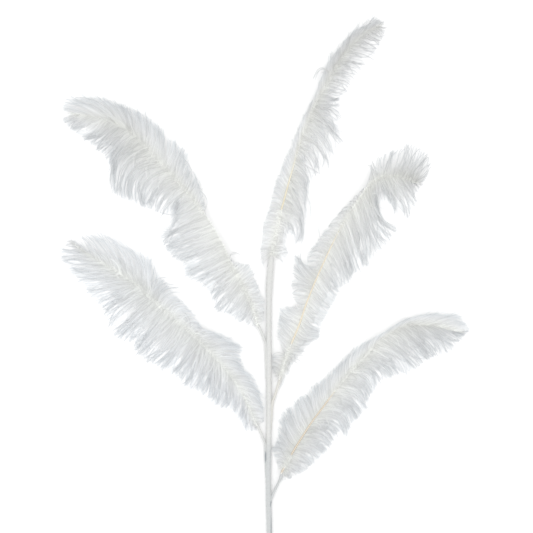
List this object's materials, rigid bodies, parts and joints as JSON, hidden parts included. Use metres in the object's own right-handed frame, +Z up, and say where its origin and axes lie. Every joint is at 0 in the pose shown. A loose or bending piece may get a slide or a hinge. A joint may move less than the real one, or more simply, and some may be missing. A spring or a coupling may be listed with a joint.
{
  "type": "ostrich feather spray",
  "caption": "White ostrich feathers on short branch wires along a straight taped wire stem, lying flat, for flower arranging and display.",
  "frame": {"origin": "on the surface that the spray lies on, under the middle of its footprint", "axes": "+Z up from the surface, +Y along the stem towards the feathers' tips, +X to the right as seen from above"},
  "size_m": [0.5131, 0.6913, 0.0239],
  "materials": {
    "white_feather": "soft white barbs with fine barbules, bluish grey where thin, cream along the shaft",
    "white_tape": "matt white florist's tape wound in a spiral, slightly scuffed"
  },
  "bodies": {
    "root": {"main_stem": "white_tape", "branch_wire_lower_left": "white_tape", "branch_wire_lower_right": "white_tape", "branch_wire_upper_left": "white_tape", "branch_wire_upper_right": "white_tape", "feather_top": "white_feather", "feather_upper_left": "white_feather", "feather_upper_right": "white_feather", "feather_lower_left": "white_feather", "feather_lower_right": "white_feather"}
  },
  "joints": []
}
